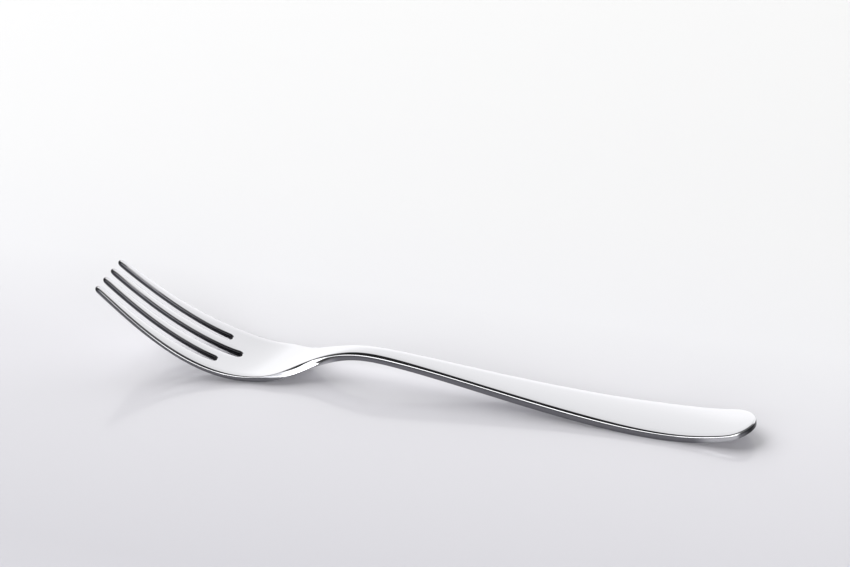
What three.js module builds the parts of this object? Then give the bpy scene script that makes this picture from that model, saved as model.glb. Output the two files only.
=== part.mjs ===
// Fish fork in polished stainless steel, made from one strip of metal.
// Millimetres, +Z up. The fork lies on a table at z = 0 with its hollow side up,
// its tines towards -X and its handle towards +X, centred over the origin.
//
// The form comes from two drawn views, as cutlery is designed: the outline of the
// upper face seen from above, and that face seen from the side. A third curve gives
// the metal's thickness. Distances along the fork are measured from the tine tips.

import * as THREE from "three";
import { mergeVertices } from "three/addons/utils/BufferGeometryUtils.js";

// Whole fork. The length is that of the upper face: the metal's tilted ends add to it below
const LENGTH = 189.9;
// Stamping and polishing round the upper edges much more than the lower ones
const UPPER_EDGE_ROUND = 0.65;
const LOWER_EDGE_ROUND = 0.2;
const STEEL_COLOUR = 0xc8c9cb;

// Outline of the upper face seen from above: full widths and where they lie
const TIP_SPREAD = 19.1;
const TINE_SPREAD = 23.4;
const TINE_SPREAD_AT = 18;
const HEAD_WIDTH = 24.7;
const HEAD_WIDTH_AT = 37;
const SHOULDER_WIDTH = 21.9;
const SHOULDER_AT = 47;
const SHOULDER_TURN_WIDTH = 18.1;
const SHOULDER_TURN_AT = 54;
const NECK_FLARE_WIDTH = 11;
const NECK_FLARE_AT = 60;
const NECK_START_WIDTH = 6.9;
const NECK_START_AT = 67;
const NECK_WIDTH = 6.2;
const NECK_AT = 80;
const STEM_WIDTH = 9.5;
const STEM_AT = 112;
const HANDLE_SIDE_WIDTH = 15.5;
const HANDLE_SIDE_FROM_END = 40;
const HANDLE_WIDTH = 17.1;
const HANDLE_WIDTH_FROM_END = 22;
// The width that the sides would have at the very end, if the end weren't rounded
const END_WIDTH = 13.9;
const END_ROUND_LENGTH = 7;

// Upper face seen from the side, along the middle: height above the table and where
const TIP_HEIGHT = 23.65;
const TINE_BEND_HEIGHT = 13.45;
const TINE_BEND_AT = 14;
const TINE_ROOT_HEIGHT = 4.5;
const TINE_ROOT_AT = 32;
const BOWL_AT = 47;
const BOWL_BACK_HEIGHT = 3.95;
const BOWL_BACK_AT = 57;
const ARCH_FRONT_HEIGHT = 8.3;
const ARCH_FRONT_AT = 68;
const ARCH_HEIGHT = 10.1;
const ARCH_AT = 77;
const ARCH_BACK_HEIGHT = 9.7;
const ARCH_BACK_AT = 88;
const STEM_HEIGHT = 7;
const STEM_HEIGHT_AT = 110;
const HANDLE_START_HEIGHT = 3.7;
const HANDLE_START_FROM_END = 52;
const HANDLE_REST_FROM_END = 27;
const HANDLE_LIFT_HEIGHT = 3.7;
const HANDLE_LIFT_FROM_END = 8;
const END_HEIGHT = 5.6;
// Depth of the flats that polishing leaves where bowl and handle stand on the table
const REST_FLAT_DEPTH = 0.08;

// Thickness of the metal
const TIP_THICKNESS = 1.55;
const TINE_THICKNESS = 1.5;
const TINE_THICKNESS_AT = 26;
const BOWL_THICKNESS = 1.9;
const NECK_FRONT_THICKNESS = 2.3;
const NECK_THICKNESS = 2.3;
const STEM_THICKNESS = 2.5;
const HANDLE_THICKNESS = 2.3;
const HANDLE_LIP_THICKNESS = 2;
const HANDLE_LIP_FROM_END = 10;
const END_THICKNESS = 1.6;

// Hollow across the bowl and crown across the handle, between their edges and middle
const BOWL_HOLLOW = 0.4;
const BOWL_HOLLOW_REACH = 24;
// The crown is a share of the width, and grows along the neck
const CROWN_SHARE = 0.021;
const CROWN_FROM = 58;
const CROWN_FULL_AT = 78;

// Tines and the slots between them
const TIP_ROUND_LENGTH = 0.9;
// The nose of a tine thins from both faces, down to a share of the metal at the very tip
const TIP_NOSE_LENGTH = 2.2;
const TIP_NOSE_SHARE = 0.4;
const TIP_TAPER = 0.22;
const TIP_TAPER_LENGTH = 7;
const SIDE_SLOT_TIP_WIDTH = 3.2;
const SIDE_SLOT_ROOT_WIDTH = 2.1;
const SIDE_SLOT_LENGTH = 34.7;
const SIDE_SLOT_OFFSET = 6.5;
const SIDE_SLOT_TOE_IN = 0.95;
const MIDDLE_SLOT_TIP_WIDTH = 3.3;
const MIDDLE_SLOT_ROOT_WIDTH = 2.4;
const MIDDLE_SLOT_LENGTH = 40;

// Fineness of the faceted surface
const COLUMNS_PER_TINE = 2;
const ROUND_STEPS = 2;
const TIP_STEPS = 5;
const TINE_STEPS = 10;
const SLOT_END_STEPS = 6;
const SLOT_STAGGER_STEPS = 2;
const SHOULDER_STEPS = 16;
const STEM_STEPS = 14;
const HANDLE_STEPS = 9;
const END_STEPS = 8;
// The tips and the handle end stop short of a point, at this angle round their curve
const LAST_ANGLE = THREE.MathUtils.degToRad(82);
// Points closer together than this are one point
const MERGE_DISTANCE = 1e-4;

const QUARTER_TURN = Math.PI / 2;

/** Natural cubic spline through [distance, value] rows, as a function of distance. */
function splineThrough(rows) {
  const last = rows.length - 1;
  const gap = (i) => rows[i + 1][0] - rows[i][0];
  const rise = (i) => (rows[i + 1][1] - rows[i][1]) / gap(i);
  const bend = new Array(last + 1).fill(0);
  const share = new Array(last + 1).fill(0);
  for (let i = 1; i < last; i += 1) {
    const pivot = 2 * (gap(i - 1) + gap(i)) - gap(i - 1) * share[i - 1];
    share[i] = gap(i) / pivot;
    bend[i] = (6 * (rise(i) - rise(i - 1)) - gap(i - 1) * bend[i - 1]) / pivot;
  }
  for (let i = last - 1; i > 0; i -= 1) {
    bend[i] -= share[i] * bend[i + 1];
  }
  return (distance) => {
    let i = 0;
    while (i < last - 1 && distance > rows[i + 1][0]) {
      i += 1;
    }
    const width = gap(i);
    const after = (distance - rows[i][0]) / width;
    const before = 1 - after;
    const straight = before * rows[i][1] + after * rows[i + 1][1];
    const curved = (before ** 3 - before) * bend[i] + (after ** 3 - after) * bend[i + 1];
    return straight + (curved * width * width) / 6;
  };
}

/** Slope of a curve, from two points close on either side. */
function slopeOf(curve, distance) {
  const step = 0.01;
  return (curve(distance + step) - curve(distance - step)) / (2 * step);
}

/** Evenly spaced numbers from one value to another, both included. */
function spread(from, to, steps) {
  return Array.from({ length: steps + 1 }, (_, i) => from + ((to - from) * i) / steps);
}

const halfWidth = splineThrough([
  [0, TIP_SPREAD / 2],
  [TINE_SPREAD_AT, TINE_SPREAD / 2],
  [HEAD_WIDTH_AT, HEAD_WIDTH / 2],
  [SHOULDER_AT, SHOULDER_WIDTH / 2],
  [SHOULDER_TURN_AT, SHOULDER_TURN_WIDTH / 2],
  [NECK_FLARE_AT, NECK_FLARE_WIDTH / 2],
  [NECK_START_AT, NECK_START_WIDTH / 2],
  [NECK_AT, NECK_WIDTH / 2],
  [STEM_AT, STEM_WIDTH / 2],
  [LENGTH - HANDLE_SIDE_FROM_END, HANDLE_SIDE_WIDTH / 2],
  [LENGTH - HANDLE_WIDTH_FROM_END, HANDLE_WIDTH / 2],
  [LENGTH, END_WIDTH / 2],
]);

// Bowl and handle stand on the table, so there the upper face is one thickness up
const upperFace = splineThrough([
  [0, TIP_HEIGHT],
  [TINE_BEND_AT, TINE_BEND_HEIGHT],
  [TINE_ROOT_AT, TINE_ROOT_HEIGHT],
  [BOWL_AT, BOWL_THICKNESS - REST_FLAT_DEPTH],
  [BOWL_BACK_AT, BOWL_BACK_HEIGHT],
  [ARCH_FRONT_AT, ARCH_FRONT_HEIGHT],
  [ARCH_AT, ARCH_HEIGHT],
  [ARCH_BACK_AT, ARCH_BACK_HEIGHT],
  [STEM_HEIGHT_AT, STEM_HEIGHT],
  [LENGTH - HANDLE_START_FROM_END, HANDLE_START_HEIGHT],
  [LENGTH - HANDLE_REST_FROM_END, HANDLE_THICKNESS - REST_FLAT_DEPTH],
  [LENGTH - HANDLE_LIFT_FROM_END, HANDLE_LIFT_HEIGHT],
  [LENGTH, END_HEIGHT],
]);

const thickness = splineThrough([
  [0, TIP_THICKNESS],
  [TINE_THICKNESS_AT, TINE_THICKNESS],
  [BOWL_AT, BOWL_THICKNESS],
  [NECK_START_AT, NECK_FRONT_THICKNESS],
  [NECK_AT, NECK_THICKNESS],
  [LENGTH - HANDLE_START_FROM_END, STEM_THICKNESS],
  [LENGTH - HANDLE_REST_FROM_END, HANDLE_THICKNESS],
  [LENGTH - HANDLE_LIP_FROM_END, HANDLE_LIP_THICKNESS],
  [LENGTH, END_THICKNESS],
]);

/** Share of the thickness that the rounded noses of the tines leave. */
function noseShare(distance) {
  const along = Math.min(distance / TIP_NOSE_LENGTH, 1);
  return TIP_NOSE_SHARE + (1 - TIP_NOSE_SHARE) * Math.sqrt(1 - (1 - along) ** 2);
}

/** Rise of both faces from the middle to the edge of the bowl, which makes its hollow. */
function hollowAt(distance) {
  const away = Math.min(Math.abs(distance - BOWL_AT) / BOWL_HOLLOW_REACH, 1);
  return (BOWL_HOLLOW * (1 + Math.cos(Math.PI * away))) / 2;
}

/** Rise of the upper face along the middle of the handle, fading out along the neck. */
function crownAt(distance) {
  const grown = THREE.MathUtils.smoothstep(distance, CROWN_FROM, CROWN_FULL_AT);
  return 2 * halfWidth(distance) * CROWN_SHARE * grown;
}

/** A slot that narrows from the tips to a round end, and widens where the tips taper. */
function makeSlot(tipWidth, rootWidth, length) {
  const radius = rootWidth / 2;
  const roundStart = length - radius;
  const halfGap = (distance, inset) => {
    const reach = distance - roundStart;
    if (reach > 0) {
      const half = Math.sqrt(Math.max((radius + inset) ** 2 - reach ** 2, 0));
      return half > MERGE_DISTANCE ? half : 0;
    }
    const along = distance / roundStart;
    const taper = TIP_TAPER * Math.max(1 - distance / TIP_TAPER_LENGTH, 0) ** 2;
    return tipWidth / 2 + (radius - tipWidth / 2) * along ** 2 + taper + inset;
  };
  return { radius, roundStart, length, halfGap };
}

const sideSlot = makeSlot(SIDE_SLOT_TIP_WIDTH, SIDE_SLOT_ROOT_WIDTH, SIDE_SLOT_LENGTH);
const middleSlot = makeSlot(MIDDLE_SLOT_TIP_WIDTH, MIDDLE_SLOT_ROOT_WIDTH, MIDDLE_SLOT_LENGTH);
const [shortSlot, longSlot] = [sideSlot, middleSlot].sort((a, b) => a.length - b.length);

/** Distance from the middle of the fork to the line of a side slot, and on along the handle. */
function sideSlotLine(distance) {
  const start = sideSlot.roundStart;
  if (distance > start) {
    return (SIDE_SLOT_OFFSET * halfWidth(distance)) / halfWidth(start);
  }
  const forward = (start - distance) / start;
  return SIDE_SLOT_OFFSET - SIDE_SLOT_TOE_IN * forward * forward;
}

// A station is one line across the fork. The rounded edges need each line at several insets
// from the outline, so a station gives its distance for any inset. At the tips and the handle
// end it also gives the share of the full width that their round leaves.

function tipStations() {
  return spread(LAST_ANGLE, 0, TIP_STEPS).map((angle) => ({
    at: (inset) => TIP_ROUND_LENGTH - (TIP_ROUND_LENGTH - inset) * Math.sin(angle),
    tipShare: Math.cos(angle),
    endShare: 1,
  }));
}

function endStations() {
  const start = LENGTH - END_ROUND_LENGTH;
  return spread(0, LAST_ANGLE, END_STEPS).slice(1).map((angle) => ({
    at: (inset) => start + (END_ROUND_LENGTH - inset) * Math.sin(angle),
    tipShare: 1,
    endShare: Math.cos(angle),
  }));
}

/** Stations after one place and up to another, the first of them moved along by the inset. */
function plainStations(from, to, steps, insetShare) {
  return spread(0, 1, steps).slice(1).map((share) => ({
    at: (inset) => from + (to - from) * share + insetShare * inset * (1 - share),
    tipShare: 1,
    endShare: 1,
  }));
}

/** Stations round the end of a slot, from an angle on, until its two sides meet. */
function slotEndStations(slot, startAngle) {
  return spread(startAngle, QUARTER_TURN, SLOT_END_STEPS).slice(1).map((angle) => ({
    at: (inset) => slot.roundStart + (slot.radius + inset) * Math.sin(angle),
    tipShare: 1,
    endShare: 1,
  }));
}

/** Stations from the end of the shorter slot to that of the longer one. */
function longSlotStations() {
  const overlap = (shortSlot.length - longSlot.roundStart) / longSlot.radius;
  if (overlap > 0) {
    return slotEndStations(longSlot, Math.asin(overlap));
  }
  return [
    ...plainStations(shortSlot.length, longSlot.roundStart, SLOT_STAGGER_STEPS, 1),
    ...slotEndStations(longSlot, 0),
  ];
}

function allStations() {
  const handleStart = LENGTH - HANDLE_SIDE_FROM_END;
  return [
    ...tipStations(),
    ...plainStations(TIP_ROUND_LENGTH, shortSlot.roundStart, TINE_STEPS, 0),
    ...slotEndStations(shortSlot, 0),
    ...longSlotStations(),
    ...plainStations(longSlot.length, NECK_AT, SHOULDER_STEPS, 1),
    ...plainStations(NECK_AT, handleStart, STEM_STEPS, 0),
    ...plainStations(handleStart, LENGTH - END_ROUND_LENGTH, HANDLE_STEPS, 0),
    ...endStations(),
  ];
}

/** Left and right limits of the four tines at a station, and of what continues them. */
function tineLimits(station, inset) {
  const distance = station.at(inset);
  const edgeInset = inset * Math.hypot(1, slopeOf(halfWidth, distance));
  const edge = (halfWidth(distance) - edgeInset) * station.endShare;
  const line = sideSlotLine(distance) * station.endShare;
  const side = sideSlot.halfGap(distance, inset);
  const middle = middleSlot.halfGap(distance, inset);
  const limits = [
    [-edge, -line - side],
    [-line + side, -middle],
    [middle, line - side],
    [line + side, edge],
  ];
  return limits.map(([left, right]) => {
    const centre = (left + right) / 2;
    const half = ((right - left) / 2) * station.tipShare;
    return [centre - half, centre + half];
  });
}

/** Steps round an edge from the face to the wall: inset from the outline and drop from the face. */
function edgeSteps(radius) {
  return spread(QUARTER_TURN, 0, ROUND_STEPS).map((angle) => ({
    inset: radius * (1 - Math.cos(angle)),
    drop: radius * (1 - Math.sin(angle)),
  }));
}

// The side as levels from the upper face down to the underside: inset from the outline,
// share of the metal's thickness above the level, and what rounding adds to that
const levels = [
  ...edgeSteps(UPPER_EDGE_ROUND).map(({ inset, drop }) => ({ inset, share: 0, drop })),
  ...edgeSteps(LOWER_EDGE_ROUND).toReversed().map(({ inset, drop }) => ({ inset, share: 1, drop: -drop })),
];

/** Point of the fork at a station, a level, a tine and a column across that tine. */
function pointAt(station, level, tine, column) {
  const distance = station.at(level.inset);
  const [left, right] = tineLimits(station, level.inset)[tine];
  const across = left + ((right - left) * column) / COLUMNS_PER_TINE;
  const outward = (across / halfWidth(distance)) ** 2;
  const crown = crownAt(distance) * (1 - outward) * (1 - level.share);
  const top = upperFace(distance) + hollowAt(distance) * outward + crown;
  const metal = thickness(distance);
  const nose = noseShare(distance);
  const depth = (metal * (1 - nose)) / 2 + (metal * level.share + level.drop) * nose;
  const slope = slopeOf(upperFace, distance);
  const length = Math.hypot(1, slope);
  const height = Math.max(top - depth / length, 0);
  return new THREE.Vector3(distance + (depth * slope) / length, across, height);
}

/** Closed skin of the fork: both faces, the rounded sides, the tips and the handle end. */
function forkGeometry() {
  const stations = allStations();
  const lastStation = stations.length - 1;
  const lastLevel = levels.length - 1;
  const tines = [0, 1, 2, 3];
  const corners = [];
  const spot = (level, i, tine, column) => pointAt(stations[i], levels[level], tine, column);
  const quad = (a, b, c, d) => corners.push(a, b, c, a, c, d);
  const isOpen = (tine, right, i) => {
    const rim = right ? tine === 3 : tine === 0;
    const besideMiddle = right ? tine === 1 : tine === 2;
    const slot = besideMiddle ? middleSlot : sideSlot;
    return rim || slot.halfGap(stations[i].at(0), 0) > 0;
  };

  for (let i = 0; i < lastStation; i += 1) {
    for (const tine of tines) {
      for (let column = 0; column < COLUMNS_PER_TINE; column += 1) {
        const next = column + 1;
        quad(spot(0, i, tine, column), spot(0, i + 1, tine, column),
          spot(0, i + 1, tine, next), spot(0, i, tine, next));
        quad(spot(lastLevel, i, tine, column), spot(lastLevel, i, tine, next),
          spot(lastLevel, i + 1, tine, next), spot(lastLevel, i + 1, tine, column));
      }
      for (let level = 0; level < lastLevel; level += 1) {
        if (isOpen(tine, true, i)) {
          const column = COLUMNS_PER_TINE;
          quad(spot(level, i, tine, column), spot(level, i + 1, tine, column),
            spot(level + 1, i + 1, tine, column), spot(level + 1, i, tine, column));
        }
        if (isOpen(tine, false, i)) {
          quad(spot(level, i, tine, 0), spot(level + 1, i, tine, 0),
            spot(level + 1, i + 1, tine, 0), spot(level, i + 1, tine, 0));
        }
      }
    }
  }
  for (let level = 0; level < lastLevel; level += 1) {
    for (const tine of tines) {
      for (let column = 0; column < COLUMNS_PER_TINE; column += 1) {
        const next = column + 1;
        quad(spot(level, 0, tine, column), spot(level, 0, tine, next),
          spot(level + 1, 0, tine, next), spot(level + 1, 0, tine, column));
        quad(spot(level, lastStation, tine, column), spot(level + 1, lastStation, tine, column),
          spot(level + 1, lastStation, tine, next), spot(level, lastStation, tine, next));
      }
    }
  }

  const skin = new THREE.BufferGeometry().setFromPoints(corners);
  const geometry = mergeVertices(skin, MERGE_DISTANCE);
  geometry.computeBoundingBox();
  const { min, max } = geometry.boundingBox;
  geometry.translate(-(min.x + max.x) / 2, 0, -min.z);
  geometry.computeVertexNormals();
  return geometry;
}

const polishedSteel = new THREE.MeshStandardMaterial({
  color: STEEL_COLOUR,
  metalness: 1,
  roughness: 0.1,
});

const forkBody = new THREE.Mesh(forkGeometry(), polishedSteel);
forkBody.name = "fork_body";

const fork = new THREE.Group();
fork.name = "fish_fork";
fork.add(forkBody);

export default fork;
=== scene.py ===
# %% [markdown]
# A polished fish fork
#
# The object is one strip of stainless steel: four tines, a shallow bowl, a slim arched neck and a
# flat handle. The imported solid of it is loaded first and hidden once the new skin takes its place.
# The new skin is drawn finer than the solid, so that a mirror polish shows smooth reflections instead
# of facets.

# %% Load the imported solid
import bpy
import numpy as np
from math import radians
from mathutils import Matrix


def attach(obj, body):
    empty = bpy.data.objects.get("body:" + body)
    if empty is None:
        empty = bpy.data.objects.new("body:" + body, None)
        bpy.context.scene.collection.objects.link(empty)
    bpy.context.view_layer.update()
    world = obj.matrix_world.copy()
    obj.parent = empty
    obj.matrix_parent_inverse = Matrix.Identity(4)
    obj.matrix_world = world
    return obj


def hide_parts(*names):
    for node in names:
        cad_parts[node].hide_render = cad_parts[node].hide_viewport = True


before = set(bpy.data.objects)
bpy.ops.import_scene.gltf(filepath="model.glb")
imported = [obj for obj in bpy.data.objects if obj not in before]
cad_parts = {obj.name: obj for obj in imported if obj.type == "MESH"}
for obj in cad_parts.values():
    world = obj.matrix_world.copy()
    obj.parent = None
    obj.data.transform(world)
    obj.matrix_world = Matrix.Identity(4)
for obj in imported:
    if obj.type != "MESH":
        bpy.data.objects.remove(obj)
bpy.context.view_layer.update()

# %% [markdown]
# The curves of the fork
#
# Cutlery is drawn as an outline from above and a profile from the side, so the shape is kept as
# curves through a few measured sizes. Blender's own curve objects could hold them, but a natural
# cubic spline is short to write with numpy and gives a height or width for a whole array of places
# at once. All sizes are millimetres, and distances run along the fork from the tine tips.

# %% Spline through measured sizes
LENGTH = 189.9


def smooth_curve(rows):
    """Natural cubic spline: the bend at each knot comes from one linear system in which slopes
    and bends agree on both sides of every inner knot, and the bend is nothing at both ends."""
    knots, values = np.array(rows, dtype=float).T
    gap = np.diff(knots)
    rise = np.diff(values) / gap
    inner = np.arange(1, len(knots) - 1)
    system = np.eye(len(knots))
    system[inner, inner - 1] = gap[:-1]
    system[inner, inner] = 2 * (gap[:-1] + gap[1:])
    system[inner, inner + 1] = gap[1:]
    right = np.zeros(len(knots))
    right[inner] = 6 * np.diff(rise)
    bend = np.linalg.solve(system, right)

    def curve(place):
        """The straight line between two knots, plus for each knot its bend times a sixth of the
        gap squared times the cube less the share."""
        i = np.clip(np.searchsorted(knots, place) - 1, 0, len(gap) - 1)
        after = (place - knots[i]) / gap[i]
        before = 1 - after
        curved = (before**3 - before) * bend[i] + (after**3 - after) * bend[i + 1]
        return before * values[i] + after * values[i + 1] + curved * gap[i] ** 2 / 6

    return curve


def slope_of(curve, place, step=0.01):
    """Rise over run between two points close on either side of the place."""
    return (curve(place + step) - curve(place - step)) / (2 * step)


full_width = smooth_curve([
    (0, 19.1), (18, 23.4), (37, 24.7), (47, 21.9), (54, 18.1), (60, 11), (67, 6.9), (80, 6.2),
    (112, 9.5), (LENGTH - 40, 15.5), (LENGTH - 22, 17.1), (LENGTH, 13.9),
])
upper_face = smooth_curve([
    (0, 23.65), (14, 13.45), (32, 4.5), (47, 1.82), (57, 3.95), (68, 8.3), (77, 10.1), (88, 9.7),
    (110, 7), (LENGTH - 52, 3.7), (LENGTH - 27, 2.22), (LENGTH - 8, 3.7), (LENGTH, 5.6),
])
thickness = smooth_curve([
    (0, 1.55), (26, 1.5), (47, 1.9), (67, 2.3), (80, 2.3), (LENGTH - 52, 2.5), (LENGTH - 27, 2.3),
    (LENGTH - 10, 2), (LENGTH, 1.6),
])
places = np.array([0, 37, 80, 150, LENGTH])
for name, curve in {"width": full_width, "height": upper_face, "thickness": thickness}.items():
    print(name, "at", places.tolist(), "mm:", curve(places).round(2).tolist())

# %% [markdown]
# Hollow and crown
#
# The bowl is pressed a little hollow and the handle keeps a faint crown from the rolling mill. Both
# are only parts of a millimetre and could be left to a bump texture, but a mirror shows the
# difference at once, so they are part of the shape.

# %% Shape across the fork
BOWL_HOLLOW, BOWL_HOLLOW_REACH, BOWL_AT = 0.4, 24, 47
CROWN_SHARE, CROWN_FROM, CROWN_FULL = 0.021, 58, 78
HANDLE_WIDEST = LENGTH - 22


def smooth_step(value, start, stop):
    """Nothing before the start, one after the stop, three squares less two cubes between."""
    share = np.clip((value - start) / (stop - start), 0, 1)
    return share**2 * (3 - 2 * share)


def bowl_hollow(place):
    """Half a cosine wave, full at the bowl and nothing at the end of its reach."""
    away = np.minimum(np.abs(place - BOWL_AT) / BOWL_HOLLOW_REACH, 1)
    return BOWL_HOLLOW * (1 + np.cos(np.pi * away)) / 2


def handle_crown(place):
    """A share of the width, growing in a smooth step from nothing at the bowl."""
    return CROWN_SHARE * full_width(place) * smooth_step(place, CROWN_FROM, CROWN_FULL)


print("hollow of the bowl:", BOWL_HOLLOW, "mm, crown of the handle:",
      round(float(handle_crown(HANDLE_WIDEST)), 2), "mm")

# %% [markdown]
# Slots and tips
#
# The slots between the tines narrow towards round ends, as the punch that cuts them leaves them. The
# tines taper to blunt, rounded noses that don't prick. A boolean could cut the slots, but it would
# leave a ragged mesh, so the width of each slot is a formula and the skin is laid round it.

# %% Slots between the tines
SIDE_SLOT = {"tip": 3.2, "root": 2.1, "length": 34.7}
MIDDLE_SLOT = {"tip": 3.3, "root": 2.4, "length": 40}
SIDE_SLOT_OFFSET, SIDE_SLOT_TOE_IN = 6.5, 0.95
TIP_TAPER, TIP_TAPER_LENGTH = 0.22, 7
NOSE_LENGTH, NOSE_SHARE = 2.2, 0.4
NO_GAP = 1e-4


def tip_nose(place):
    """Share of the thickness that the rounded noses of the tines leave: a quarter of an ellipse."""
    along = np.clip(place / NOSE_LENGTH, 0, 1)
    return NOSE_SHARE + (1 - NOSE_SHARE) * np.sqrt(1 - (1 - along) ** 2)


def half_gap(slot, place, inset):
    """Half the slot's width: it narrows with the square of the distance, widens again where the
    tips taper, and ends in a half circle. The inset widens it all round."""
    radius = slot["root"] / 2
    round_start = slot["length"] - radius
    taper = TIP_TAPER * np.maximum(1 - place / TIP_TAPER_LENGTH, 0) ** 2
    straight = slot["tip"] / 2 + (radius - slot["tip"] / 2) * (place / round_start) ** 2 + taper
    circle = np.sqrt(np.maximum((radius + inset) ** 2 - (place - round_start) ** 2, 0))
    circle = np.where(circle > NO_GAP, circle, 0)
    return np.where(place > round_start, circle, straight + inset)


def side_slot_line(place):
    """Distance of a side slot from the middle: it toes in towards the tips, and behind the slot
    it keeps its share of the width."""
    start = SIDE_SLOT["length"] - SIDE_SLOT["root"] / 2
    behind = SIDE_SLOT_OFFSET * full_width(place) / full_width(start)
    ahead = SIDE_SLOT_OFFSET - SIDE_SLOT_TOE_IN * ((start - place) / start) ** 2
    return np.where(place > start, behind, ahead)


print("slots at the tips:", round(2 * float(half_gap(MIDDLE_SLOT, 0.0, 0.0)), 2), "mm and",
      round(2 * float(half_gap(SIDE_SLOT, 0.0, 0.0)), 2), "mm")

# %% [markdown]
# Lines along the fork
#
# The skin is a grid: lines across the fork one way, a closed ring round each tine the other way.
# Round tips, slot ends and the handle end need their lines packed closer, so each stretch is spread
# by angle or by distance as it suits. Every line is stored as a place, how far a rounded edge pulls
# it along, and how much of the width the rounded tip or end leaves there.

# %% Lines across the fork
TIP_ROUND, END_ROUND = 0.9, 7
TIP_LINES, END_LINES = 11, 40
STEM_AT, BROAD_AT = 80, LENGTH - 40
QUARTER = np.pi / 2


def lines(place, lead, tip_share=1, end_share=1):
    """One row per line: place, lead per millimetre of inset, share of width at tip and end."""
    return np.stack(np.broadcast_arrays(place, lead, tip_share, end_share), axis=-1)


def plain_lines(start, stop, count, lead=0):
    """Evenly spaced lines after the start, whose lead fades to nothing at the stop."""
    share = np.linspace(0, 1, count + 1)[1:]
    return lines(start + (stop - start) * share, lead * (1 - share))


def slot_end_lines(slot, count):
    """Lines spread by the sine of an angle round the slot's half circle."""
    sine = np.sin(np.linspace(0, QUARTER, count + 1)[1:])
    radius = slot["root"] / 2
    return lines(slot["length"] - radius + radius * sine, sine)


tip_angle = np.linspace(QUARTER, 0, TIP_LINES)
end_angle = np.linspace(0, QUARTER, END_LINES + 1)[1:]
side_round = SIDE_SLOT["length"] - SIDE_SLOT["root"] / 2
middle_round = MIDDLE_SLOT["length"] - MIDDLE_SLOT["root"] / 2
line = np.concatenate([
    lines(TIP_ROUND * (1 - np.sin(tip_angle)), np.sin(tip_angle), tip_share=np.cos(tip_angle)),
    plain_lines(TIP_ROUND, side_round, count=54),
    slot_end_lines(SIDE_SLOT, count=12),
    plain_lines(SIDE_SLOT["length"], middle_round, count=7, lead=1),
    slot_end_lines(MIDDLE_SLOT, count=12),
    plain_lines(MIDDLE_SLOT["length"], STEM_AT, count=66, lead=1),
    plain_lines(STEM_AT, BROAD_AT, count=70),
    plain_lines(BROAD_AT, LENGTH - END_ROUND, count=36),
    lines(LENGTH - END_ROUND + END_ROUND * np.sin(end_angle), -np.sin(end_angle),
          end_share=np.cos(end_angle)),
])
print("lines across the fork:", len(line))

# %% [markdown]
# The ring round a tine
#
# The ring starts on the upper face, turns over the edge to a side wall, round the lower edge and back
# along the underside. A plain rectangle with a Bevel modifier would do for a matt object. Here the
# columns lie close together near the edges, so the shading stays flat on the faces.

# %% Ring of one tine
WALL_ANGLE = radians(78)
COLUMNS, ROUND_STEPS, WALL_STEPS = 14, 9, 6
SIDE = 2 * ROUND_STEPS + WALL_STEPS

across = (1 - np.cos(np.linspace(0, np.pi, COLUMNS + 1))) / 2
side_angle = np.concatenate([
    np.linspace(0, WALL_ANGLE, ROUND_STEPS + 1),
    np.linspace(WALL_ANGLE, np.pi - WALL_ANGLE, WALL_STEPS + 1)[1:],
    np.linspace(np.pi - WALL_ANGLE, np.pi, ROUND_STEPS + 1)[1:],
])
ring_share = np.concatenate([across, np.ones(SIDE), across[-2::-1], np.zeros(SIDE - 1)])
ring_angle = np.concatenate([0 * across, side_angle[1:], 0 * across[1:] + np.pi, side_angle[-2:0:-1]])
RING = len(ring_share)
print("points round a tine:", RING)

# %% [markdown]
# Rounded edges
#
# Stamped metal has sharp edges, and polishing rounds them. The wheel takes most off along the tines
# and the handle. At the neck the walls are ground to a lean, which leaves the edge crisp, so the
# radius on the rim is a curve too. The walls between the edges are slightly barrelled, because a
# dead flat wall would show one flat tone.

# %% Profile of the edges
SLOT_EDGE, LOWER_EDGE = 0.65, 0.12
rim_rounding = smooth_curve([
    (0, 0.7), (14, 0.8), (30, 0.85), (45, 0.38), (53, 0.14), (61, 0.13), (66, 0.5), (72, 0.9),
    (95, 0.95), (LENGTH - 40, 0.8), (LENGTH - 15, 0.45), (LENGTH, 0.4),
])


def edge_profile(upper):
    """How far each ring point lies inside the outline, and how deep below the upper face, as shares
    of the thickness. Three arcs follow each other: the upper edge with the given radius, the
    barrelled wall and the lower edge. On an arc, run grows by radius times the sine of the angle
    and depth by radius times one minus its cosine."""
    turn_1, turn_2 = np.cos(WALL_ANGLE), np.sin(WALL_ANGLE)
    barrel = (1 - (upper + LOWER_EDGE) * (1 - turn_1)) / (2 * turn_1)
    first = ring_angle <= WALL_ANGLE
    last = ring_angle > np.pi - WALL_ANGLE
    radius = np.where(first, upper, np.where(last, LOWER_EDGE, barrel))
    start = np.where(first, 0, np.where(last, np.pi - WALL_ANGLE, WALL_ANGLE))
    run_before = np.where(first, 0, upper * turn_2)
    wall_end = 1 - LOWER_EDGE * (1 - turn_1)
    depth_before = np.where(first, 0, np.where(last, wall_end, upper * (1 - turn_1)))
    run = run_before + radius * (np.sin(ring_angle) - np.sin(start))
    depth = depth_before + radius * (np.cos(start) - np.cos(ring_angle))
    widest = upper * turn_2 + barrel * (1 - turn_2)
    return widest - run, depth


rounding = rim_rounding(line[:, 0])
print("radius on the rim:", rounding.min().round(2), "to", rounding.max().round(2), "mm")

# %% [markdown]
# Points of the skin
#
# Each point is worked out from its line and its place on the ring: across the tine for Y, and from
# the upper face down along the metal's own normal for X and Z. The four tines keep their own
# columns behind the slots too, so the grid runs on through bowl, neck and handle without a seam. At
# the neck the walls are ground to a lean, so that they look up a little and catch the light.

# %% Limits of each tine
# A stretch is given by the places where it starts, is full, begins to fade and stops.
NECK, NECK_LEAN = (46, 60, 62, 73), 0.33
RIM_FROM = 6


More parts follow.
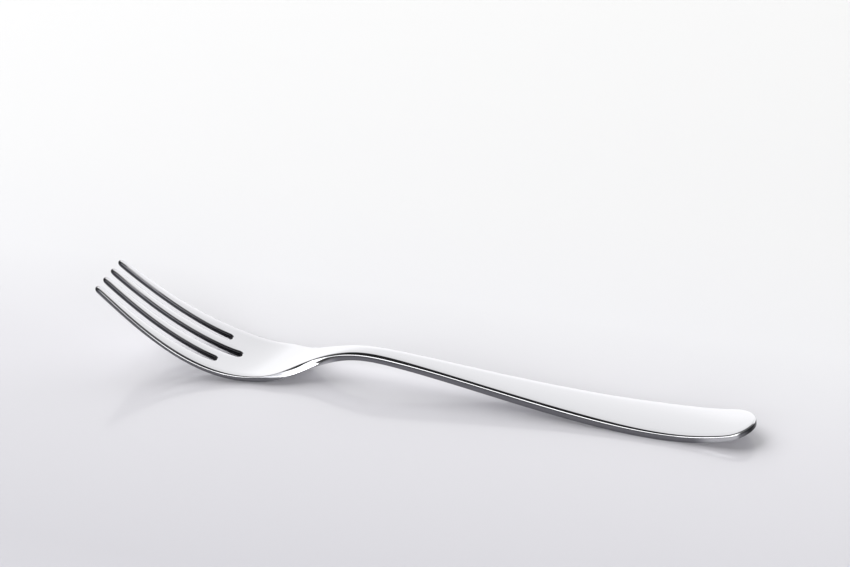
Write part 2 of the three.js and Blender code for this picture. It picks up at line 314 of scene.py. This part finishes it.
def stretch(value, start, full, fading, stop):
    """One from full to fading, nothing outside start and stop: a smooth step up times one down."""
    return smooth_step(value, start, full) * (1 - smooth_step(value, fading, stop))


place, lead, tip_share, end_share = (column[:, None, None] for column in line.T)
metal = thickness(place)
more_round = rim_rounding(place) - SLOT_EDGE
rim_edge = SLOT_EDGE + more_round * smooth_step(place, TIP_ROUND, RIM_FROM)
slot_edge = SLOT_EDGE + more_round * smooth_step(place, MIDDLE_SLOT["length"], STEM_AT)
rim_inset, rim_depth = edge_profile(rim_edge / metal)
slot_inset, slot_depth = edge_profile(slot_edge / metal)
neck = stretch(place, *NECK)
rim_inset = metal * (rim_inset + NECK_LEAN * neck * (0.5 - rim_depth))
slot_inset = metal * slot_inset
rim_place, slot_place = place + lead * rim_inset, place + lead * slot_inset

rim = full_width(rim_place) / 2 - rim_inset * np.hypot(1, slope_of(full_width, rim_place) / 2)
rim *= end_share
slot_line = side_slot_line(slot_place) * end_share
side_gap = half_gap(SIDE_SLOT, slot_place, slot_inset)
middle_gap = half_gap(MIDDLE_SLOT, slot_place, slot_inset)
left = np.concatenate([-rim, -slot_line + side_gap, middle_gap, slot_line + side_gap], axis=1)
right = np.concatenate([-slot_line - side_gap, -middle_gap, slot_line - side_gap, rim], axis=1)
middle = (left + right) / 2
left, right = middle + (left - middle) * tip_share, middle + (right - middle) * tip_share
print("flat tops of the tines at the tips:", (right - left)[TIP_LINES, :, 0].round(2).tolist(), "mm")

# %% Places along and across
rims_left = np.array([True, False, False, False])[:, None]
rims_right = rims_left[::-1]


def blend_sides(of_rim, of_slot):
    """Mixes the values of a tine's left and right side by the ring's share across the tine."""
    on_left = np.where(rims_left, of_rim, of_slot)
    on_right = np.where(rims_right, of_rim, of_slot)
    return on_left + (on_right - on_left) * ring_share


where = blend_sides(rim_place, slot_place)
under = blend_sides(rim_depth, slot_depth)
y = left + (right - left) * ring_share
outward = (y / (full_width(where) / 2)) ** 2
print("grid of places:", where.shape, "widest:", (2 * y.max()).round(2), "mm")

# %% [markdown]
# Soft edges
#
# A buffing wheel is soft, so it also rolls the faces down a little before the edge, by about a tenth
# of a millimetre. The roll helps to draw the fine pale and dark lines along a polished edge. It fades
# away from the rim, or from a slot where one is open, and the crisp edge of the neck has none.

# %% Crown and rolled edges
HEAD_ROLL, HANDLE_ROLL, ROLL_WIDTH = 0.1, 0.05, 1.5
HEAD_ENDS, HANDLE_STARTS, SLOT_FADE = 45, 90, 5


def still_open(slot):
    """One along the slot, falling in a smooth step to nothing at its end."""
    return 1 - smooth_step(place, slot["length"] - SLOT_FADE, slot["length"])


def rolled(away):
    """The square of what is left of the roll's width at this distance from the edge."""
    return np.maximum(1 - away / ROLL_WIDTH, 0) ** 2


open_side, open_middle = still_open(SIDE_SLOT), still_open(MIDDLE_SLOT)
slots_left = np.concatenate([0 * open_side, open_side, open_middle, open_side], axis=1)
slots_right = slots_left[:, ::-1]
near_edge = (rolled(right[:, -1:] - np.abs(y)) + slots_left * rolled(y - left)
             + slots_right * rolled(right - y))
roll = HEAD_ROLL + (HANDLE_ROLL - HEAD_ROLL) * smooth_step(place, HEAD_ENDS, HANDLE_STARTS)
lift = (handle_crown(where) * (1 - outward) - roll * (1 - neck) * near_edge) * (1 - under)
print("upper face lies", lift.min().round(2), "to", lift.max().round(2), "mm off its profile")

# %% Every point at once
slope = slope_of(upper_face, where)
normal = np.hypot(1, slope)
nose = tip_nose(where)
depth = metal * ((1 - nose) / 2 + under * nose)
x = where + depth * slope / normal
z = np.maximum(upper_face(where) + bowl_hollow(where) * outward + lift - depth / normal, 0)
points = np.stack([x, y, z], axis=-1)
points[..., 0] -= (points[..., 0].min() + points[..., 0].max()) / 2
points[..., 2] -= points[..., 2].min()
points /= 1000
print("grid of points:", points.shape, "box in mm:",
      (1000 * points.reshape(-1, 3).min(0)).round(2).tolist(),
      (1000 * points.reshape(-1, 3).max(0)).round(2).tolist())

# %% [markdown]
# Where the polishing wheel reaches
#
# The wheel shines the faces, the rounded rim and, round the inner curve of the neck and near the
# handle's end, the walls. It can't get into the slots, and on the other walls it leaves the tumbled
# metal below the edge: rougher, with a darker tint that is partly painted shade. The slot walls,
# darkest towards the slot ends, the tine tips and the handle's very end get painted shade as a
# darker tint still. Two materials would meet in a hard line, so each point carries a number: nothing
# for a mirror, a half for a tumbled wall and one for the darkest painted shade.

# %% Finish and painted shade of every point
# The shine ends at a steepness, the sine of the wall's angle. On the rim it changes from place to place.
SLOT_SHINE_ENDS, RIM_SHINE_FADE = (0.6, 0.85), 0.05
RIM_SHINE_ENDS = [(10, 0.82), (40, 0.93), (60, 0.93), (75, 0.86), (100, 0.88), (135, 0.93)]
POLISHED_NECK = 54, 58, 65, 71
POLISHED_END = LENGTH - 16, LENGTH - 10, LENGTH - 4.5, LENGTH - 3
# Painted shade: the tine tips and the handle's very end get the darkest tint.
TIP_SHADE, END_SHADE = (0.4, 1.5), (LENGTH - 3, LENGTH - 1)
# Painted shade in the slots: their walls get a darker tint, darker still towards the slot ends.
SLOT_SHADE, SLOT_DARKENS = 0.7, (12, 34)

in_slot = np.where(rims_left, ring_share, np.where(rims_right, 1 - ring_share, 1))
steep = np.sin(ring_angle)
shine_ends = np.interp(place, *zip(*RIM_SHINE_ENDS))
# Walls below the shine: rougher, with a darker tint that is partly painted shade.
dull_and_shaded = np.where(in_slot > 0.5, smooth_step(steep, *SLOT_SHINE_ENDS),
                smooth_step(steep, shine_ends, shine_ends + RIM_SHINE_FADE))
dull_and_shaded = dull_and_shaded * (1 - stretch(place, *POLISHED_NECK)) * (1 - stretch(place, *POLISHED_END))
# Painted shade at the tine tips and the handle's end.
cap_shade = smooth_step(place, *END_SHADE) + 1 - smooth_step(place, *TIP_SHADE)
# Painted shade in the slots, or at the tips and the handle's end where that is darker.
painted_shade = np.maximum(in_slot * (SLOT_SHADE + (1 - SLOT_SHADE) * smooth_step(place, *SLOT_DARKENS)), cap_shade)
# Nothing for a mirror, a half for a tumbled wall partly darkened with painted shade, one for the darkest
# painted shade.
finish_and_shade = np.broadcast_to(dull_and_shaded * (1 + painted_shade) / 2, points.shape[:3])
print("share of points with a mirror polish:", (finish_and_shade < 0.01).mean().round(2))

# %% [markdown]
# One closed skin
#
# The grid becomes quads between neighbouring lines and ring points. Where a slot has closed, two
# tines share a line of points and have no wall between them, so those wall quads are left out.
# Points at the same spot are then joined, which also closes the tips and the handle end. Blender's
# own merge by distance could do that, but numpy does it at once for the whole array.

# %% Quads of the grid
open_right = np.ones((len(line), 4), bool)
open_left = np.ones((len(line), 4), bool)
side_open = half_gap(SIDE_SLOT, line[:, 0], 0) > 0
middle_open = half_gap(MIDDLE_SLOT, line[:, 0], 0) > 0
open_right[:, 0] = open_left[:, 1] = open_right[:, 2] = open_left[:, 3] = side_open
open_right[:, 1] = open_left[:, 2] = middle_open

ring_step = np.arange(RING)
right_wall = (ring_step >= COLUMNS) & (ring_step < COLUMNS + SIDE)
left_wall = ring_step >= 2 * COLUMNS + SIDE
keep = ~(right_wall & ~open_right[:-1, :, None]) & ~(left_wall & ~open_left[:-1, :, None])

number = np.arange(points[..., 0].size).reshape(points.shape[:3])
ahead = np.roll(number, -1, axis=2)
quads = np.stack([number[:-1], number[1:], ahead[1:], ahead[:-1]], axis=-1)[keep]
print("quads:", len(quads), "and walls left out:", int((~keep).sum()))

# %% Join points at the same spot
SPOTS_PER_METRE = 1e7
used = np.unique(quads)
spots = (points.reshape(-1, 3)[used] * SPOTS_PER_METRE).round().astype(np.int64)
_, first, joined = np.unique(spots, axis=0, return_index=True, return_inverse=True)
corners = points.reshape(-1, 3)[used[first]]
quads = joined.reshape(-1)[np.searchsorted(used, quads)]
same = quads == np.roll(quads, -1, axis=1)
whole = quads[same.sum(1) == 0]
pinched = same.sum(1) == 1
triangles = quads[pinched][~same[pinched]].reshape(-1, 3)
print("skin:", len(corners), "points,", len(whole), "quads,", len(triangles), "triangles")

# %% The fork's mesh
skin = bpy.data.meshes.new("fork_skin")
skin.from_pydata(corners.tolist(), [], whole.tolist() + triangles.tolist())
# Each point keeps one number for its finish and painted shade.
skin.attributes.new("finish_and_shade", "FLOAT", "POINT").data.foreach_set("value", finish_and_shade.reshape(-1)[used[first]])
skin.shade_smooth()
skin.update()
fork = bpy.data.objects.new("fork", skin)
bpy.context.collection.objects.link(fork)
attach(fork, "root")
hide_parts("fork_body")
print("fork:", [round(1000 * size, 1) for size in fork.dimensions], "mm")

# %% [markdown]
# Polished stainless steel
#
# Stainless cutlery is ground lengthwise with finer and finer wheels and then buffed to a mirror. What
# the eye gets is a clear reflection, faintly hazy in places, and very fine lines along the fork. The
# stamped side walls are only tumbled, so they are duller, and their darker tint is partly painted
# shade. The slot walls, tine tips and handle end are darker still with painted shade. A metal has no
# diffuse colour: the base colour is the tint of its reflection, and the default IOR stays.

# %% Colours and nodes
# A mirror, a tumbled wall whose darker tint is partly painted shade, and two greys of painted shade: for
# the slot walls and for the tips and the handle's end.
MIRROR, TUMBLED_AND_SHADE, SLOT_SHADE_GREY, CAP_SHADE_GREY = "#CDCDD0", "#7C7C80", "#56565A", "#343437"


def colour(code):
    """sRGB hex to linear: below 0.04045 divide by 12.92, above it a power of 2.4."""
    value = np.array([int(code[i:i + 2], 16) for i in (1, 3, 5)]) / 255
    linear = np.where(value <= 0.04045, value / 12.92, ((value + 0.055) / 1.055) ** 2.4)
    return (*linear.tolist(), 1.0)


def add_node(tree, kind, links=None, **settings):
    """Adds a node, sets its properties or the default values of its sockets, and links it."""
    node = tree.nodes.new(kind)
    for key, value in settings.items():
        if hasattr(node, key):
            setattr(node, key, value)
        else:
            node.inputs[key.replace("_", " ")].default_value = value
    for key, source in (links or {}).items():
        tree.links.new(source, node.inputs[key])
    return node


steel = bpy.data.materials.new("buffed stainless steel")
steel.use_nodes = True
tree = steel.node_tree
tree.nodes.clear()
print("a mirror of this steel gives back", [round(part, 2) for part in colour(MIRROR)[:3]])

# %% Buffed faces and tumbled walls
# In metres. Real buffing lines are some hundredths of a millimetre wide, too fine for the render, so
# they are drawn 0.6 mm wide.
HAZE_SIZE, BUFF_LENGTH, BUFF_WIDTH = 0.025, 0.020, 0.0006


def ramp(tree, source, stops):
    """Colour ramp through the given (position, colour) stops."""
    node = add_node(tree, "ShaderNodeValToRGB", {"Fac": source})
    elements = node.color_ramp.elements
    while len(elements) < len(stops):
        elements.new(1.0)
    for element, (position, shade) in zip(elements, stops):
        element.position = position
        element.color = shade
    return node.outputs["Color"]


here = add_node(tree, "ShaderNodeTexCoord").outputs["Object"]
# The number for each point's finish and painted shade.
finish_and_shade_here = add_node(tree, "ShaderNodeAttribute", attribute_name="finish_and_shade").outputs["Fac"]
haze = add_node(tree, "ShaderNodeTexNoise", {"Vector": here}, Scale=1 / HAZE_SIZE, Detail=3.0)
along = add_node(tree, "ShaderNodeMapping", {"Vector": here},
                 Scale=(1 / BUFF_LENGTH, 1 / BUFF_WIDTH, 1 / BUFF_WIDTH))
buff = add_node(tree, "ShaderNodeTexNoise", {"Vector": along.outputs["Vector"]}, Scale=1.0, Detail=2.0)
face_rough = add_node(tree, "ShaderNodeMapRange", {"Value": haze.outputs["Fac"]},
                      To_Min=0.04, To_Max=0.09)
rough = add_node(tree, "ShaderNodeMapRange",
                 {"Value": finish_and_shade_here, "To Min": face_rough.outputs["Result"]},
                 From_Max=0.5, To_Max=0.16)
# Tint by the number: the tumbled walls' darker tint is partly painted shade, and the two darkest stops
# are painted shade.
tint = ramp(tree, finish_and_shade_here, [(0, colour(MIRROR)), (0.5, colour(TUMBLED_AND_SHADE)), (0.85, colour(SLOT_SHADE_GREY)),
                                (1, colour(CAP_SHADE_GREY))])
bump = add_node(tree, "ShaderNodeBump", {"Height": buff.outputs["Fac"]}, Strength=0.02, Distance=0.0001)
shader = add_node(tree, "ShaderNodeBsdfPrincipled",
                  {"Base Color": tint, "Roughness": rough.outputs["Result"],
                   "Normal": bump.outputs["Normal"]}, Metallic=1.0)
add_node(tree, "ShaderNodeOutputMaterial", {"Surface": shader.outputs["BSDF"]})
skin.materials.append(steel)
print("steel nodes:", len(tree.nodes))

# %% [markdown]
# The table
#
# The fork lies on a glossy sheet whose pale grey turns white towards the back, so that it runs on as
# its own background. That lighter back is painted light: the colour stands in for light that falls
# off towards the front. Photographers use such graduated sheets, or let the light fall off. Here it
# is the colour, because more light from behind would also change the fork. The gloss mirrors the
# bright wall at a low angle.

# %% Pale glossy floor
FLOOR_HALF = 3.0
# Painted light: the grey ends and the white starts at these places, in metres from front to back.
GREY_ENDS, WHITE_STARTS = -0.1, 0.3
ACRYLIC_IOR = 1.49
floor_mesh = bpy.data.meshes.new("table")
floor_corners = FLOOR_HALF * np.array([(-1, -1, 0), (1, -1, 0), (1, 1, 0), (-1, 1, 0)])
floor_mesh.from_pydata(floor_corners.tolist(), [], [(0, 1, 2, 3)])
floor = bpy.data.objects.new("table", floor_mesh)
bpy.context.collection.objects.link(floor)

gloss = bpy.data.materials.new("glossy acrylic sheet with painted falloff")
gloss.use_nodes = True
tree = gloss.node_tree
tree.nodes.clear()
here = add_node(tree, "ShaderNodeTexCoord").outputs["Object"]
back = add_node(tree, "ShaderNodeMapRange",
                {"Value": add_node(tree, "ShaderNodeSeparateXYZ", {"Vector": here}).outputs["Y"]},
                From_Min=GREY_ENDS, From_Max=WHITE_STARTS)
# Painted light: lighter towards the back, standing in for light that falls off towards the front.
shade = ramp(tree, back.outputs["Result"], [
    (0, colour("#D3D2D8")), (0.25, colour("#E7E6EB")), (0.38, colour("#F3F3F6")),
    (0.55, colour("#F6F6F7")), (1, colour("#F8F8F8"))])
shader = add_node(tree, "ShaderNodeBsdfPrincipled", {"Base Color": shade},
                  Roughness=0.13, IOR=ACRYLIC_IOR)
add_node(tree, "ShaderNodeOutputMaterial", {"Surface": shader.outputs["BSDF"]})
floor_mesh.materials.append(gloss)
print("table:", 2 * FLOOR_HALF, "m square, nodes:", len(tree.nodes))

# %% [markdown]
# The room
#
# A mirror shows the room, so the room is laid out by what each part of the fork sees. From the
# camera, the upper face sees a pale wall behind that is brightest low down, and the rounded rim sees
# a dark ceiling. From other sides the fork sees pale screens round the table. They show in mirrors
# alone, so the wall and the lamps make all the shading of the table, and the camera itself sees
# plain white.

# %% Wall behind, by direction
WALL_FROM, WALL_FULL = 0.55, 0.64
world = bpy.data.worlds.new("studio")
bpy.context.scene.world = world
world.use_nodes = True
tree = world.node_tree
tree.nodes.clear()


def grey(level):
    """The same level of red, green and blue, already linear."""
    return (level, level, level, 1.0)


def height(elevation):
    """Z of a direction at this elevation in degrees: its sine."""
    return float(np.sin(radians(elevation)))


direction = add_node(tree, "ShaderNodeTexCoord").outputs["Generated"]
parts = add_node(tree, "ShaderNodeSeparateXYZ", {"Vector": direction})
rise = [(0, 1.55), (10, 1.55), (21, 1.54), (28, 1.36), (35, 1.28), (42, 1.2), (53, 1.1)]
glow = ramp(tree, parts.outputs["Z"], [(height(elevation), grey(level)) for elevation, level in rise])
behind = add_node(tree, "ShaderNodeMapRange", {"Value": parts.outputs["Y"]},
                  From_Min=WALL_FROM, From_Max=WALL_FULL, interpolation_type="SMOOTHSTEP")
wall_light = add_node(tree, "ShaderNodeBackground", {"Color": glow})
print("wall behind: level", rise[0][1], "at the table,", rise[-1][1], "at", rise[-1][0], "degrees")

# %% Screens and ceiling, in mirrors alone
SCREENS_END, CEILING_STARTS, CEILING = 30, 38, 0.3
UNLIT, WHITE = 0.02, 1.0
around = [(-1, 0.6), (-0.62, 0.6), (-0.48, 0.1), (0.1, 0.1), (0.3, 0.5), (0.75, 0.5), (0.9, 0.22),
          (1, 0.22)]
side = add_node(tree, "ShaderNodeMapRange", {"Value": parts.outputs["X"]}, From_Min=-1.0)
screens = ramp(tree, side.outputs["Result"], [((x + 1) / 2, grey(level)) for x, level in around])
high = add_node(tree, "ShaderNodeMapRange", {"Value": parts.outputs["Z"]}, From_Min=height(SCREENS_END),
                From_Max=height(CEILING_STARTS), To_Min=1.0, To_Max=CEILING)
mirrored = add_node(tree, "ShaderNodeBackground", {"Color": screens, "Strength": high.outputs["Result"]})
room = add_node(tree, "ShaderNodeBackground", Color=grey(UNLIT))
seen = add_node(tree, "ShaderNodeBackground", Color=grey(WHITE))
rays = add_node(tree, "ShaderNodeLightPath").outputs
room_seen = add_node(tree, "ShaderNodeMixShader", {0: rays["Is Glossy Ray"], 1: room.outputs[0],
                                                   2: mirrored.outputs[0]})
lit = add_node(tree, "ShaderNodeMixShader", {0: behind.outputs["Result"], 1: room_seen.outputs[0],
                                             2: wall_light.outputs[0]})
shown = add_node(tree, "ShaderNodeMixShader", {0: rays["Is Camera Ray"], 1: lit.outputs[0],
                                               2: seen.outputs[0]})
add_node(tree, "ShaderNodeOutputWorld", {"Surface": shown.outputs[0]})
print("room nodes:", len(tree.nodes))

# %% [markdown]
# Softboxes
#
# A wide softbox behind the camera draws the white line along the near rim, and a low strip box fills
# the leaning walls of the neck. Both shine on the fork alone, because a glossy table would show their
# glare from other sides. Twins that mirrors don't see light the table in their place. The table light
# from the left gives the shadows, and a small panel over the handle is there for views from above.

# %% Lamps
def softbox(name, azimuth, elevation, distance, size, radiance):
    """Area light on a sphere round the origin, turned to face it. Azimuth is to the right of the
    front. Its power is radiance times pi times area, so the radiance is what a mirror shows."""
    lamp = bpy.data.lights.new(name, "AREA")
    lamp.shape = "RECTANGLE"
    lamp.size, lamp.size_y = size
    lamp.energy = radiance * np.pi * size[0] * size[1]
    box = bpy.data.objects.new(name, lamp)
    turn_to, tip_to = radians(azimuth), radians(elevation)
    box.location = (distance * np.sin(turn_to) * np.cos(tip_to),
                    -distance * np.cos(turn_to) * np.cos(tip_to), distance * np.sin(tip_to))
    box.rotation_euler = (radians(90 - elevation), 0, turn_to)
    bpy.context.collection.objects.link(box)
    print(name + ":", round(lamp.energy, 2), "W")
    return box


fork_alone = bpy.data.collections.new("fork alone")
fork_alone.objects.link(fork)
front_boxes = {
    "front softbox": dict(azimuth=2, elevation=26, distance=1.3, size=(2.7, 0.45), radiance=2.8),
    "low strip box": dict(azimuth=22, elevation=7.5, distance=1.3, size=(1.27, 0.3), radiance=5.0),
}
for name, setting in front_boxes.items():
    softbox(name, **setting).light_linking.receiver_collection = fork_alone
    softbox(name + " on the table", **setting).visible_glossy = False
table_light = softbox("table light", azimuth=-110, elevation=45, distance=4.0, size=(4.8, 3.2),
                      radiance=3.4)
table_light.visible_glossy = False
panel = softbox("overhead panel", azimuth=90, elevation=68.2, distance=0.269, size=(0.29, 0.045),
                radiance=0.5)
panel.visible_diffuse = panel.visible_camera = False

# %% [markdown]
# Camera
#
# The lens and the place come from the photograph's perspective: a long lens looking down on the fork
# from its handle's side. Standard as the view transform shows colours about as they are written.

# %% Camera of the photograph
IMAGE_WIDTH, FOCAL_PIXELS, SENSOR = 850, 2400, 36
CAMERA_AT, LOOKS_DOWN, TURNED = (0.16647, -0.56578, 0.34751), 28, 16.33
camera = bpy.data.cameras.new("camera")
camera.sensor_fit = "HORIZONTAL"
camera.sensor_width = SENSOR
camera.lens = FOCAL_PIXELS / IMAGE_WIDTH * SENSOR
viewer = bpy.data.objects.new("camera", camera)
viewer.location = CAMERA_AT
viewer.rotation_euler = (radians(90 - LOOKS_DOWN), 0, radians(TURNED))
bpy.context.collection.objects.link(viewer)
bpy.context.scene.camera = viewer
bpy.context.scene.view_settings.view_transform = "Standard"
print("lens:", round(camera.lens, 1), "mm")
